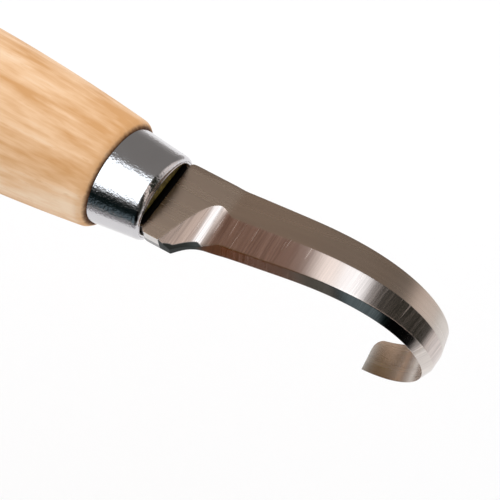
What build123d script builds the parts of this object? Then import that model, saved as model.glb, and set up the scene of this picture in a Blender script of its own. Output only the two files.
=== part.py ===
from build123d import *
import os
from math import cos, pi, radians, sin

os.makedirs("parts", exist_ok=True)

# A hook knife for hollowing bowls and spoons: a stamped steel strip with a
# ground edge, curled into a hook, whose barbed tang is bedded in an oval
# birch handle behind a thin plated ferrule.
#
# Millimetres. X runs along the handle from the centre of the butt face to the
# blade, +Y is the spine side of the blade and -Y the cutting side, and +Z is
# the bevelled, outer side of the hook. The hook curls towards -Z.

# Wooden handle, an oval barrel. Widths are half sizes along Y, depths along Z.
wood_length = 105.0
butt_half_width = 10.4
butt_half_depth = 8.6
belly_at = 50.0
belly_half_width = 14.0
belly_half_depth = 11.0
shoulder_half_width = 10.1
shoulder_half_depth = 7.8
shoulder_round = 1.4
butt_round = 3.0

# Ferrule, an oval cone with a turned-in mouth.
ferrule_length = 9.0
ferrule_rear_half_width = 9.0
ferrule_rear_half_depth = 6.95
ferrule_front_half_width = 8.05
ferrule_front_half_depth = 6.25
ferrule_wall = 0.55
mouth_half_width = 7.4
mouth_half_depth = 4.85
mouth_rounding = 1.2
mouth_lip = 0.3
ferrule_fit = 0.05

# Blade strip.
strip_thickness = 2.7
strip_thickness_at_tip = 1.4
tip_lean = 20.0
neck_half_width = 7.3
neck_stand_off = 0.3
neck_corner = 0.5
neck_lower_run = 5.6
tang_root_clearance = 0.5
heel_at = 9.3
set_bend_length = 3.0
set_bend_turn = 15.1
rise_length = 10.5
hook_length = 52.7
hook_widest_radius = 190.0
hook_radii = (29.0, 13.0, 9.8, 12.6, 15.0)
tip_radius = 13.4

# Offsets of the strip's edges from its centre line, at the heel and the tip.
spine_at_heel = 7.2
spine_at_tip = 2.8
edge_at_heel = 3.95
edge_at_tip = 2.65
bevel_at_heel = 1.75
bevel_at_tip = 0.8
micro_bevel_at_heel = 3.0
micro_bevel_at_tip = 0.2
bevel_depth = 1.1
bevel_depth_at_tip = 0.43
grinding_wheel_radius = 7.0
tip_corner_round = 1.8

# Barbed tang.
tang_length = 76.0
tang_front_half_width = 5.0
tang_rear_half_width = 2.6
barb_count = 7
barb_pitch = 8.0
barb_depth = 0.8

# Bored slot and the adhesive that beds the tang.
mouth_recess = 0.8
slot_side_room = 0.7
slot_face_room = 0.8
slot_end_room = 3.0
slot_step_at = 34.0
bead_forward = 0.5
bead_height = 0.45
bead_inset = 0.2

# Places that follow from the sizes above.
mouth_at = wood_length + ferrule_length
half_strip = strip_thickness / 2
wood_face_at = mouth_at - mouth_recess
tang_root_half_width = mouth_half_width - mouth_lip - tang_root_clearance
heel_to_tip = set_bend_length + rise_length + hook_length
strip_end = heel_at + heel_to_tip


def oval(place, half_width, half_depth):
    """An oval face across the handle axis, place millimetres from the butt."""
    across = Plane(origin=(place, 0, 0), x_dir=(0, 1, 0), z_dir=(1, 0, 0))
    return across * Ellipse(half_width, half_depth)


def parabola(place, peak, end_place, end_value):
    """A value that peaks at the handle's belly and falls to end_value."""
    share = (place - belly_at) / (end_place - belly_at)
    return peak - (peak - end_value) * share**2


def barrel_section(place):
    """The oval of the wooden barrel at a place along it."""
    if place < belly_at:
        width = parabola(place, belly_half_width, 0, butt_half_width)
        depth = parabola(place, belly_half_depth, 0, butt_half_depth)
    else:
        width = parabola(place, belly_half_width, wood_length, shoulder_half_width)
        depth = parabola(place, belly_half_depth, wood_length, shoulder_half_depth)
    return oval(place, width, depth)


def end_edges(body, place):
    """The edges of a body that lie in the cross plane at a place."""
    return body.edges().filter_by_position(Axis.X, place - 0.01, place + 0.01)


def barrel():
    """The outside of the wooden handle with both ends rounded over."""
    rear = [barrel_section(belly_at * share / 3) for share in range(4)]
    reach = wood_length - belly_at
    front = [barrel_section(belly_at + reach * share / 3) for share in range(1, 4)]
    body = loft(rear + front)
    body = fillet(end_edges(body, 0), butt_round)
    return fillet(end_edges(body, wood_length), shoulder_round)


def ferrule_half_sizes(place):
    """Outer half width and half depth of the ferrule's cone at a place."""
    share = (place - wood_length) / (ferrule_length - mouth_rounding)
    width_drop = ferrule_rear_half_width - ferrule_front_half_width
    depth_drop = ferrule_rear_half_depth - ferrule_front_half_depth
    width = ferrule_rear_half_width - width_drop * share
    depth = ferrule_rear_half_depth - depth_drop * share
    return width, depth


def ferrule_cone(start, stop, inset):
    """The ferrule's tapered oval between two places, inset from its outside."""
    faces = []
    for place in (start, stop):
        width, depth = ferrule_half_sizes(place)
        faces.append(oval(place, width - inset, depth - inset))
    return loft(faces, ruled=True)


def ferrule_nose(inset):
    """The rounded front of the ferrule that turns in to the mouth."""
    faces = []
    for step in range(5):
        angle = pi / 2 * step / 4
        place = mouth_at - mouth_rounding + (mouth_rounding - inset) * sin(angle)
        width_fall = ferrule_front_half_width - mouth_half_width
        depth_fall = ferrule_front_half_depth - mouth_half_depth
        width = mouth_half_width + width_fall * cos(angle) - inset
        depth = mouth_half_depth + depth_fall * cos(angle) - inset
        faces.append(oval(place, width, depth))
    return loft(faces)


def mouth_opening():
    """The oval hole through the ferrule's turned-in front."""
    hole = oval(mouth_at, mouth_half_width - mouth_lip, mouth_half_depth - mouth_lip)
    return extrude(hole, ferrule_wall * 2, both=True)


def ferrule():
    """Thin drawn shell: oval cone, rounded nose and oval mouth."""
    nose_at = mouth_at - mouth_rounding
    outside = ferrule_cone(wood_length, nose_at, 0) + ferrule_nose(0)
    inside = ferrule_cone(wood_length, nose_at, ferrule_wall) + ferrule_nose(ferrule_wall)
    return outside - inside - mouth_opening()


def spigot():
    """The reduced front of the wood that the ferrule is pressed over."""
    inset = ferrule_wall + ferrule_fit
    nose_at = mouth_at - mouth_rounding
    body = ferrule_cone(wood_length - shoulder_round, nose_at, inset) + ferrule_nose(inset)
    beyond = Pos(wood_face_at + 25, 0, 0) * Box(50, 50, 50)
    return body - beyond


def tang_half_width(place):
    """Half width of the tang, tapering from its root to its rear end."""
    share = (wood_face_at - place) / tang_length
    return tang_front_half_width - (tang_front_half_width - tang_rear_half_width) * share


def rounded_slot(start, stop, half_width, half_depth):
    """A slot with round sides that runs along X between two places."""
    across = Plane(origin=(start, 0, 0), x_dir=(0, 1, 0), z_dir=(1, 0, 0))
    outline = across * RectangleRounded(2 * half_width, 2 * half_depth, half_depth * 0.98)
    return extrude(outline, stop - start)


def bored_slot():
    """The stepped slot in the wood that takes the tang and its adhesive."""
    half_depth = half_strip + slot_face_room
    step_at = wood_face_at - slot_step_at
    end_at = wood_face_at - tang_length - slot_end_room
    front_width = tang_front_half_width + slot_side_room
    rear_width = tang_half_width(step_at) + slot_side_room
    front = rounded_slot(step_at, wood_face_at, front_width, half_depth)
    return front + rounded_slot(end_at, step_at, rear_width, half_depth)


def handle():
    """Oval wooden barrel with its spigot, slotted for the tang."""
    return barrel() + spigot() - bored_slot()


def flat_plate(points):
    """A plate of strip thickness, centred on Z = 0, from an XY outline."""
    return extrude(make_face(Polyline(*points, close=True)), half_strip, both=True)


def barb(number, side):
    """A saw-tooth notch in one edge of the tang, biting against a pull."""
    place = wood_face_at - barb_pitch * (number + 1)
    edge = side * (tang_half_width(place) + 0.5)
    root = side * (tang_half_width(place) - barb_depth)
    lean = barb_pitch * 0.45
    return flat_plate([(place, edge), (place, root), (place + lean, edge)])


def tang():
    """The tapered tang with barbs along both edges."""
    end_at = wood_face_at - tang_length
    front_at = wood_face_at + 0.1
    front = tang_half_width(front_at)
    rear = tang_half_width(end_at)
    point = 3.0
    body = flat_plate([
        (front_at, front),
        (end_at + point, rear),
        (end_at, rear - point / 2),
        (end_at, point / 2 - rear),
        (end_at + point, -rear),
        (front_at, -front),
    ])
    for number in range(barb_count):
        body -= barb(number, 1)
        body -= barb(number, -1)
    return body


def neck():
    """The flat neck in front of the mouth, with its root, choil and run-out."""
    root_at = wood_face_at + 0.1
    seat_at = mouth_at + neck_stand_off
    corner_at = seat_at + neck_corner
    lower_end = mouth_at + neck_lower_run
    heel = mouth_at + heel_at
    outline = Polyline(
        (heel, spine_at_heel),
        (corner_at, neck_half_width),
        (seat_at, tang_root_half_width),
        (root_at, tang_root_half_width),
        (root_at, -tang_root_half_width),
        (seat_at, -tang_root_half_width),
        (corner_at, -neck_half_width),
        (lower_end, -neck_half_width),
    )
    middle_of_choil = (
        mouth_at + neck_lower_run + (heel_at - neck_lower_run) * 0.40,
        -edge_at_heel - (neck_half_width - edge_at_heel) * 0.42,
    )
    choil = ThreePointArc((lower_end, -neck_half_width), middle_of_choil, (heel, -edge_at_heel))
    front = Line((heel, -edge_at_heel), (heel, spine_at_heel))
    plate = extrude(make_face([outline, choil, front]), half_strip, both=True)
    return plate - bevel_run_out()


def bevel_run_out():
    """The wheel-shaped hollow where the main bevel runs out into the neck."""
    slope = bevel_depth / (bevel_at_heel + micro_bevel_at_heel)
    along = Vector(0, 1, slope).normalized()
    upright = Vector(0, -slope, 1).normalized()
    touch = Vector(mouth_at + heel_at, bevel_at_heel, half_strip)
    centre = touch + upright * grinding_wheel_radius
    wheel = Plane(origin=centre, x_dir=(1, 0, 0), z_dir=along)
    return wheel * Cylinder(grinding_wheel_radius, 40)


def curvature(distance):
    """How fast the outer face turns towards -Z, in radians per millimetre."""
    past_heel = distance - heel_at
    if past_heel < 0:
        return 0.0
    if past_heel < set_bend_length:
        return -radians(set_bend_turn) / set_bend_length
    along_hook = past_heel - set_bend_length - rise_length
    if along_hook < 0:
        return 0.0
    radii = (hook_widest_radius,) + hook_radii + (tip_radius,)
    shares = (0.0, 0.22, 0.44, 0.665, 0.775, 0.885, 1.0)
    share = min(along_hook / hook_length, 1.0)
    for index in range(len(shares) - 1):
        if share <= shares[index + 1]:
            part = (share - shares[index]) / (shares[index + 1] - shares[index])
            return (1 - part) / radii[index] + part / radii[index + 1]
    return 1 / tip_radius


def strip_plane(distance):
    """The plane across the strip, on its outer face, distance along it.

    Towards the tip the spine side leans in, so the hook cups a little.
    """
    x = mouth_at
    z = half_strip
    angle = 0.0
    start = 0.0
    for bound in (heel_at, heel_at + set_bend_length, strip_end):
        stop = max(start, min(bound, distance))
        stride = (stop - start) / 300
        for step in range(300):
            turn = curvature(start + (step + 0.5) * stride) * stride
            x += cos(angle + turn / 2) * stride
            z -= sin(angle + turn / 2) * stride
            angle += turn
        start = stop
    lean = radians(gathered(0, tip_lean, distance, 1.7))
    across = (-sin(lean) * sin(angle), cos(lean), -sin(lean) * cos(angle))
    return Plane(origin=(x, 0, z), x_dir=across, z_dir=(cos(angle), 0, -sin(angle)))


def eased(at_heel, at_tip, distance, power):
    """A size that leaves its heel value and settles on its tip value."""
    left = max(0.0, 1 - (distance - heel_at) / heel_to_tip)
    return at_tip + (at_heel - at_tip) * left**power


def gathered(at_heel, at_tip, distance, power):
    """A size that keeps its heel value at first and reaches its tip value late."""
    share = max(0.0, (distance - heel_at) / heel_to_tip)
    return at_heel + (at_tip - at_heel) * share**power


def strip_section(distance):
    """The five-sided ground section: back, bevel, micro bevel, edge and spine."""
    spine = eased(spine_at_heel, spine_at_tip, distance, 0.85)
    edge = eased(edge_at_heel, edge_at_tip, distance, 1.2)
    bevel = gathered(bevel_at_heel, bevel_at_tip, distance, 1.0)
    micro = gathered(micro_bevel_at_heel, micro_bevel_at_tip, distance, 1.8)
    depth = gathered(bevel_depth, bevel_depth_at_tip, distance, 1.0)
    thickness = gathered(strip_thickness, strip_thickness_at_tip, distance, 1.5)
    outline = Polyline(
        (spine, 0),
        (bevel, 0),
        (-micro, -depth),
        (-edge, -thickness),
        (spine, -thickness),
        close=True,
    )
    return strip_plane(distance) * make_face(outline)


def strip_run(start, stop, count):
    """A stretch of the ground strip, lofted through count spaced sections."""
    span = stop - start
    sections = [strip_section(start + span * step / (count - 1)) for step in range(count)]
    return loft(sections)


def rounded_tip(body):
    """Rounds the spine corner of the tip."""
    end = strip_plane(strip_end)
    corner = end * Pos(spine_at_tip, -strip_thickness_at_tip / 2, 0)
    near = body.edges().sort_by_distance(corner.position)
    return fillet(near[0], tip_corner_round)


def ground_strip():
    """The sharpened strip from the heel to the tip: set bend, rise and hook."""
    rise_at = heel_at + set_bend_length
    hook_at = rise_at + rise_length
    set_bend = strip_run(heel_at, rise_at, 4)
    rise = strip_run(rise_at, hook_at, 3)
    hook = strip_run(hook_at, strip_end, 14)
    return set_bend + rise + hook


def blade():
    """One steel piece: barbed tang, neck and curled, ground strip."""
    return rounded_tip(tang() + neck() + ground_strip())


def bead():
    """Adhesive squeezed out around the root of the neck."""
    length = mouth_recess + bead_forward
    middle = wood_face_at + length / 2
    height = strip_thickness + 2 * bead_height
    half_width = tang_root_half_width - bead_inset
    body = Pos(middle, 0, 0) * Box(length, 2 * half_width, height)
    front = body.edges().filter_by(Axis.Y).sort_by(Axis.X)[-2:]
    return fillet(front, bead_height * 0.6)


def tang_bedding(steel):
    """Cured adhesive that fills the slot round the tang and beads at its root."""
    return bored_slot() + bead() - steel


steel_blade = blade()
export_step(steel_blade, "parts/blade.step")
export_step(ferrule(), "parts/ferrule.step")
export_step(handle(), "parts/handle.step")
export_step(tang_bedding(steel_blade), "parts/tang_bedding.step")
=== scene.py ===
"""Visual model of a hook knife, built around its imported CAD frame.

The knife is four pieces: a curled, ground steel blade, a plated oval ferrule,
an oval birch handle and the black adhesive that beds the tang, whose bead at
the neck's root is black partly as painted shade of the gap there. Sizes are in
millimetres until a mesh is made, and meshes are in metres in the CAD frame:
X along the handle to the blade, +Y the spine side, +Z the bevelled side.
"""

import logging
from dataclasses import dataclass
from enum import Enum
from math import pi, radians

import bpy
import numpy as np
from mathutils import Matrix, Vector


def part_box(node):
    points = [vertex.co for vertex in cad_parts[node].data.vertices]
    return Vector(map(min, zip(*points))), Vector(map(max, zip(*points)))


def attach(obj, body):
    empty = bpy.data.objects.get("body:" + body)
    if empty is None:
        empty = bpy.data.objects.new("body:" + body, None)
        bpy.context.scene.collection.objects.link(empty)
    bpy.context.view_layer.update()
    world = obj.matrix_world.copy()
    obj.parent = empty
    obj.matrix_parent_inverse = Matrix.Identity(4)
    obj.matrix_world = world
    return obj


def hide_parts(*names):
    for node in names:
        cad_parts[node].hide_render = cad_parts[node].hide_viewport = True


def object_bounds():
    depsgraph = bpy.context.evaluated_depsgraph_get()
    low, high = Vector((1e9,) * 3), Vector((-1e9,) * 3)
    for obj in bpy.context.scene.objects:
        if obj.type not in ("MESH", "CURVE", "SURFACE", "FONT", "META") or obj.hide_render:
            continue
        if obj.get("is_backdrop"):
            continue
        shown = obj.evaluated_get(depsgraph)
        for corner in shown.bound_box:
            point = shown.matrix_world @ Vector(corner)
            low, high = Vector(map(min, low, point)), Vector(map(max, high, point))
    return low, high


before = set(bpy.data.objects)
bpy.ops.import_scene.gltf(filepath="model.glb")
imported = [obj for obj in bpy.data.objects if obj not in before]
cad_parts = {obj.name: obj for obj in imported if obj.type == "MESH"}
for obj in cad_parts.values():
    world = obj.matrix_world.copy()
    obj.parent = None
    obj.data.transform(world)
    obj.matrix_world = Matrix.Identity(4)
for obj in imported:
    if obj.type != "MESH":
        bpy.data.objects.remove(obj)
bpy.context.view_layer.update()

MM = 0.001
STRIP_UNIT = 100.0  # millimetres of strip to one unit of its texture places
CREASE = radians(24.0)  # an edge sharper than this is shaded as an edge
OPEN = 9.0  # a bound past every part of a unit direction
log = logging.getLogger("hook_knife")

Colour = tuple[float, float, float]
Pitch = tuple[float, float, float]


# Shader maths


@dataclass(frozen=True)
class Wire:
    """An output socket that takes part in written arithmetic.

    Args:
        board: The node board that the socket belongs to.
        socket: The output socket itself.
    """

    board: "NodeBoard"
    socket: bpy.types.NodeSocket

    def _math(self, operation: str, first: object, second: object) -> "Wire":
        """Adds one Math node.

        Args:
            operation: What the node does.
            first: Its first value, a number or a Wire.
            second: Its second value.

        Returns:
            The node's result.
        """
        values = {0: first, 1: second}
        node = self.board.add("ShaderNodeMath", {"operation": operation}, values)
        return Wire(self.board, node.outputs[0])

    def __add__(self, other: object) -> "Wire":
        """Sum."""
        return self._math("ADD", self, other)

    def __radd__(self, other: object) -> "Wire":
        """Sum with a plain number first."""
        return self._math("ADD", other, self)

    def __sub__(self, other: object) -> "Wire":
        """Difference."""
        return self._math("SUBTRACT", self, other)

    def __rsub__(self, other: object) -> "Wire":
        """Difference from a plain number."""
        return self._math("SUBTRACT", other, self)

    def __mul__(self, other: object) -> "Wire":
        """Product."""
        return self._math("MULTIPLY", self, other)

    def __rmul__(self, other: object) -> "Wire":
        """Product with a plain number first."""
        return self._math("MULTIPLY", other, self)

    def ramp(self, low: float, high: float) -> "Wire":
        """Smooth step from 0 at low to 1 at high; low may exceed high.

        Args:
            low: The value that gives 0.
            high: The value that gives 1.

        Returns:
            The stepped value.
        """
        down = low > high
        ends = {"From Min": min(low, high), "From Max": max(low, high)}
        ends |= {"To Min": float(down), "To Max": float(not down), "Value": self}
        settings = {"interpolation_type": "SMOOTHSTEP"}
        node = self.board.add("ShaderNodeMapRange", settings, ends)
        return Wire(self.board, node.outputs[0])

    def window(self, low: float, high: float, soft: float) -> "Wire":
        """1 between low and high, 0 outside, with soft edges."""
        return self.ramp(low - soft, low + soft) * self.ramp(high + soft, high - soft)


@dataclass
class NodeBoard:
    """Writes nodes into one node tree.

    Args:
        tree: The material's or world's node tree, cleared on creation.
    """

    tree: bpy.types.NodeTree

    def __post_init__(self) -> None:
        """Starts from an empty tree."""
        self.tree.nodes.clear()

    def add(self, kind: str, settings: dict, inputs: dict) -> bpy.types.Node:
        """Adds one node.

        Args:
            kind: The node's type name.
            settings: Its properties, set first; "stops" fills a colour ramp.
            inputs: Socket name or index to a value, a Wire or a socket.

        Returns:
            The node.
        """
        node = self.tree.nodes.new(kind)
        for name, value in settings.items():
            if name == "stops":
                self._fill_ramp(node.color_ramp, value)
            else:
                setattr(node, name, value)
        for key, value in inputs.items():
            self.plug(node.inputs[key], value)
        return node

    def plug(self, socket: bpy.types.NodeSocket, value: object) -> None:
        """Links a wire or socket, or sets a plain value, on an input socket.

        Args:
            socket: The input socket.
            value: A Wire, an output socket, a number, a vector or a colour.
        """
        if isinstance(value, Wire):
            self.tree.links.new(value.socket, socket)
        elif isinstance(value, bpy.types.NodeSocket):
            self.tree.links.new(value, socket)
        elif socket.type == "RGBA" and len(value) == 3:
            socket.default_value = (*value, 1.0)
        else:
            socket.default_value = value

    @staticmethod
    def _fill_ramp(ramp: bpy.types.ColorRamp, stops: list[tuple[float, Colour]]) -> None:
        """Puts colour stops on a ramp in place of its first two.

        Args:
            ramp: The ramp.
            stops: Place, 0 to 1, and colour of each stop.
        """
        while len(ramp.elements) > 1:
            ramp.elements.remove(ramp.elements[-1])
        ramp.elements[0].position = stops[0][0]
        ramp.elements[0].color = (*stops[0][1], 1.0)
        for place, colour in stops[1:]:
            ramp.elements.new(place).color = (*colour, 1.0)

    def mix(self, factor: object, first: object, second: object, blend: str = "MIX") -> Wire:
        """Mixes two colours.

        Args:
            factor: Share of the second colour, a number or a Wire.
            first: Colour at 0.
            second: Colour at 1.
            blend: The Mix node's blend type.

        Returns:
            The mixed colour.
        """
        settings = {"data_type": "RGBA", "blend_type": blend, "clamp_factor": True}
        node = self.add("ShaderNodeMix", settings, {0: factor, 6: first, 7: second})
        return Wire(self, node.outputs[2])

    def split(self, vector: object) -> tuple[Wire, Wire, Wire]:
        """The three parts of a vector as wires."""
        node = self.add("ShaderNodeSeparateXYZ", {}, {0: vector})
        return tuple(Wire(self, out) for out in node.outputs)

    def join(self, x: object, y: object, z: object) -> Wire:
        """A vector from three values."""
        node = self.add("ShaderNodeCombineXYZ", {}, {0: x, 1: y, 2: z})
        return Wire(self, node.outputs[0])

    def shaded(self, colour: object, shade: Wire) -> Wire:
        """A colour made darker or lighter by a factor."""
        return self.mix(1.0, colour, self.join(shade, shade, shade), "MULTIPLY")

    def noise(
        self, place: object, scale: float = 1.0, detail: float = 2.0, rough: float = 0.5
    ) -> Wire:
        """Cloudy noise about 0.5.

        Args:
            place: The point it is read at.
            scale: Lumps per unit.
            detail: Octaves.
            rough: Weight of the finer octaves.

        Returns:
            The noise value, 0 to 1.
        """
        inputs = {"Vector": place, "Scale": scale, "Detail": detail, "Roughness": rough}
        return Wire(self, self.add("ShaderNodeTexNoise", {}, inputs).outputs[0])

    def grain(
        self, place: object, pitch: Pitch, detail: float = 2.0, rough: float = 0.5
    ) -> Wire:
        """Noise drawn out along the axes: its place is multiplied by a pitch.

        Args:
            place: The point it is read at.
            pitch: Lumps per unit along X, Y and Z.
            detail: Octaves.
            rough: Weight of the finer octaves.

        Returns:
            The noise value, 0 to 1.
        """
        settings = {"operation": "MULTIPLY"}
        drawn = self.add("ShaderNodeVectorMath", settings, {0: place, 1: pitch})
        return self.noise(drawn.outputs[0], 1.0, detail, rough)

    def bump(self, height: Wire, distance: float, strength: float = 1.0) -> Wire:
        """A normal that follows a height, in metres for a height of 1."""
        inputs = {"Height": height, "Distance": distance, "Strength": strength}
        return Wire(self, self.add("ShaderNodeBump", {}, inputs).outputs[0])


@dataclass(frozen=True)
class Finish:
    """What every finish shares; each gives its own shader inputs.

    Args:
        name: The material's name.
        slot: The record's material slot; not used.
    """

    name: str
    slot: str

    def material(self) -> bpy.types.Material:
        """Makes the material and dresses its Principled shader.

        Returns:
            The new material.
        """
        material = bpy.data.materials.new(self.name)
        material.use_nodes = True
        board = NodeBoard(material.node_tree)
        shader = board.add("ShaderNodeBsdfPrincipled", {}, {})
        board.add("ShaderNodeOutputMaterial", {}, {"Surface": shader.outputs[0]})
        for socket, value in self.inputs(board).items():
            board.plug(shader.inputs[socket], value)
        return material

    def inputs(self, board: NodeBoard) -> dict:
        """The shader's inputs; each finish gives its own."""
        raise NotImplementedError

    @staticmethod
    def object_place(board: NodeBoard) -> Wire:
        """The point on the object, in metres."""
        return Wire(board, board.add("ShaderNodeTexCoord", {}, {}).outputs["Object"])

    @staticmethod
    def strip_place(board: NodeBoard) -> tuple[Wire, Wire]:
        """Where a point lies on the steel strip, in strip units.

        Args:
            board: The material's board.

        Returns:
            Distance along the strip from the mouth, and distance round it
            from the foot of the main bevel.
        """
        node = board.add("ShaderNodeUVMap", {"uv_map": "strip"}, {})
        along, across, _ = board.split(node.outputs[0])
        return along, across


@dataclass(frozen=True)
class SatinSteel(Finish):
    """Rolled steel brushed along the strip, rubbed bright round the hook.

    Args:
        dull: Base colour along the neck and the rise.
        bright: Base colour where the hook is rubbed.
        rub_start: Distance from the mouth where rubbing starts, in mm.
        rub_end: Distance where it is complete.
        roughness: Middle roughness.
        line_pitch: Brushed lines per metre along each axis.
        streak_pitch: The same for the broader streaks.
        swell_pitch: The same for the rolled surface's slow swell.
        swell_depth: Depth of that swell, in metres.
    """

    dull: Colour = (0.60, 0.455, 0.355)
    bright: Colour = (0.64, 0.585, 0.54)
    rub_start: float = 38.0
    rub_end: float = 52.0
    roughness: float = 0.27
    line_pitch: Pitch = (60.0, 2300.0, 60.0)
    streak_pitch: Pitch = (30.0, 1200.0, 30.0)
    swell_pitch: Pitch = (150.0, 420.0, 150.0)
    swell_depth: float = 0.000003

    def inputs(self, board: NodeBoard) -> dict:
        """Brushed lines and a rubbed bend on bare metal.

        Args:
            board: The material's board.

        Returns:
            Values for the shader's sockets.
        """
        along, _ = self.strip_place(board)
        place = self.object_place(board)
        lines = board.grain(place, self.line_pitch, 0.0)
        streaks = board.grain(place, self.streak_pitch, 1.0)
        swell = board.grain(place, self.swell_pitch, 0.0)
        rubbed = along.ramp(self.rub_start / STRIP_UNIT, self.rub_end / STRIP_UNIT)
        colour = board.mix(rubbed, self.dull, self.bright)
        return {
            "Base Color": board.shaded(colour, 0.91 + 0.09 * streaks + 0.09 * lines),
            "Metallic": 1.0,
            "Roughness": self.roughness + 0.03 * (streaks - 0.5),
            "Normal": board.bump(swell, self.swell_depth),
        }


@dataclass(frozen=True)
class GroundSteel(Finish):
    """Steel ground across the edge, with stray bright scratches.

    Args:
        tint: Base colour of the ground metal.
        roughness: Middle roughness.
        pitch: Grinding lines per millimetre, about.
        line_depth: Depth of the grinding lines, in metres.
        scratch: Strength of the stray scratches, 0 to 1.
        scar_at: Where the one long slanting scratch starts, in mm.
        polished_at: Distances between which the lines are worn faint, in mm.
        soot: Colour of the burnt margin.
        soot_at: Distances from the mouth that the burnt margin spans, in mm.
        soot_width: Width of that margin above the foot of the bevel, in mm.
    """

    tint: Colour = (0.63, 0.555, 0.525)
    roughness: float = 0.21
    pitch: float = 1.0
    line_depth: float = 0.0000016
    scratch: float = 0.8
    scar_at: float = 14.1
    polished_at: tuple[float, float] = (24.0, 37.0)
    soot: Colour = (0.010, 0.014, 0.012)
    soot_at: tuple[float, float] = (4.9, 9.3)
    soot_width: float = 0.85

    def inputs(self, board: NodeBoard) -> dict:
        """Lines across the edge: fine grit, wider passes and a few scratches.

        Args:
            board: The material's board.

        Returns:
            Values for the shader's sockets.
        """
        along, across = self.strip_place(board)
        wander = board.noise(board.join(along * 30.0, across * 30.0, 2.0), 1.0, 1.0)
        lean = along + across * 0.06 + wander * 0.0008
        row = lean * self.pitch
        fine = board.noise(board.join(row * 330.0, across * 9.0, 0.0), 1.0, 2.0, 0.6)
        passes = board.noise(board.join(row * 110.0, across * 5.0, 7.0), 1.0, 2.0)
        stray = board.noise(board.join(row * 260.0, across * 14.0, 3.0), 1.0, 0.0)
        from_scar = along + across * 0.15 - self.scar_at / STRIP_UNIT
        scar = from_scar.window(-0.0003, 0.0003, 0.0003)
        scratches = stray.ramp(0.72, 0.80) * self.scratch + scar * fine.ramp(0.2, 0.5)
        polished_from, polished_to = (place / STRIP_UNIT for place in self.polished_at)
        coarse = 1.0 - 0.75 * along.window(polished_from, polished_to, 0.04)
        lines = 0.22 * passes.ramp(0.3, 0.7) + 0.30 * fine.ramp(0.3, 0.7) - 0.26
        colour = board.shaded(self.tint, 1.0 + coarse * lines + 0.45 * scratches)
        rough = self.roughness + 0.12 * (passes - 0.5) + 0.15 * scratches
        soot_from, soot_to = (place / STRIP_UNIT for place in self.soot_at)
        burnt = along.window(soot_from, soot_to, 0.008)
        margin = across + burnt * (self.soot_width / STRIP_UNIT)
        soot = margin.ramp(-0.0012, 0.0012) * burnt.ramp(0.0, 0.3)
        return {
            "Base Color": board.mix(soot, colour, self.soot),
            "Metallic": 1.0 - soot,
            "Roughness": rough + 0.2 * soot,
            "Normal": board.bump(passes - scratches * 0.5, self.line_depth),
        }


@dataclass(frozen=True)
class ShearedSteel(Finish):
    """The stamped side of the strip, left as the press cut it.

    Args:
        tint: Base colour.
        roughness: Middle roughness.
        tear: Depth of the tearing, in metres.
        drag_pitch: Drag lines per metre along each axis.
    """

    tint: Colour = (0.72, 0.69, 0.67)
    roughness: float = 0.30
    tear: float = 0.000004
    drag_pitch: Pitch = (5200.0, 700.0, 500.0)

    def inputs(self, board: NodeBoard) -> dict:
        """Drag lines through the thickness and blotchy tearing.

        Args:
            board: The material's board.

        Returns:
            Values for the shader's sockets.
        """
        place = self.object_place(board)
        drag = board.grain(place, self.drag_pitch, 2.0, 0.6)
        blotch = board.noise(place, 900.0, 3.0, 0.6)
        return {
            "Base Color": board.shaded(self.tint, 0.72 + 0.3 * drag + 0.26 * blotch),
            "Metallic": 1.0,
            "Roughness": self.roughness + 0.2 * (blotch - 0.4),
            "Normal": board.bump(drag * 0.6 + blotch * 0.4, self.tear),
        }


@dataclass(frozen=True)
class BurntSteel(Finish):
    """Steel blackened by the grinding wheel, turning brown towards the blade.

    Args:
        black: Colour in the choil.
        brown: Colour where the edge begins.
        brown_at: Distances from the mouth between which it turns, in mm.
        drag_pitch: Drag marks per metre along each axis.
        drag_depth: Their depth, in metres.
    """

    black: Colour = (0.010, 0.015, 0.013)
    brown: Colour = (0.105, 0.036, 0.012)
    brown_at: tuple[float, float] = (8.6, 10.6)
    drag_pitch: Pitch = (3600.0, 900.0, 500.0)
    drag_depth: float = 0.000004

    def inputs(self, board: NodeBoard) -> dict:
        """Drag marks through the thickness under a thin burnt film.

        Args:
            board: The material's board.

        Returns:
            Values for the shader's sockets.
        """
        along, _ = self.strip_place(board)
        drag = board.grain(self.object_place(board), self.drag_pitch, 2.0, 0.6)
        brown_from, brown_to = (place / STRIP_UNIT for place in self.brown_at)
        colour = board.mix(along.ramp(brown_from, brown_to), self.black, self.brown)
        return {
            "Base Color": board.shaded(colour, 0.55 + 0.9 * drag),
            "Specular IOR Level": 0.2,
            "Roughness": 0.35 + 0.2 * drag,
            "Normal": board.bump(drag, self.drag_depth),
        }


@dataclass(frozen=True)
class BrightPlating(Finish):
    """Bright plating over drawn steel, with a faint dimpled skin.

    Args:
        tint: Base colour of the plating.
        roughness: Middle roughness.
        dimple: Depth of the dimples, in metres.
        peel_pitch: Dimples per metre along each axis.
        wear_pitch: Handling marks per metre along each axis.
    """

    tint: Colour = (0.68, 0.665, 0.68)
    roughness: float = 0.13
    dimple: float = 0.000044
    peel_pitch: Pitch = (2100.0, 2600.0, 2600.0)
    wear_pitch: Pitch = (300.0, 3000.0, 3000.0)

    def inputs(self, board: NodeBoard) -> dict:
        """Orange-peel dimples, a slow draw waviness and light handling wear.

        Args:
            board: The material's board.

        Returns:
            Values for the shader's sockets.
        """
        place = self.object_place(board)
        peel = board.grain(place, self.peel_pitch, 2.0, 0.55)
        slow = board.noise(place, 260.0, 1.0)
        wear = board.grain(place, self.wear_pitch)
        return {
            "Base Color": board.shaded(self.tint, 0.95 + 0.08 * slow),
            "Metallic": 1.0,
            "Roughness": self.roughness + 0.05 * wear.ramp(0.52, 0.75),
            "Normal": board.bump(peel * 0.85 + slow * 0.3, self.dimple),
        }


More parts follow.
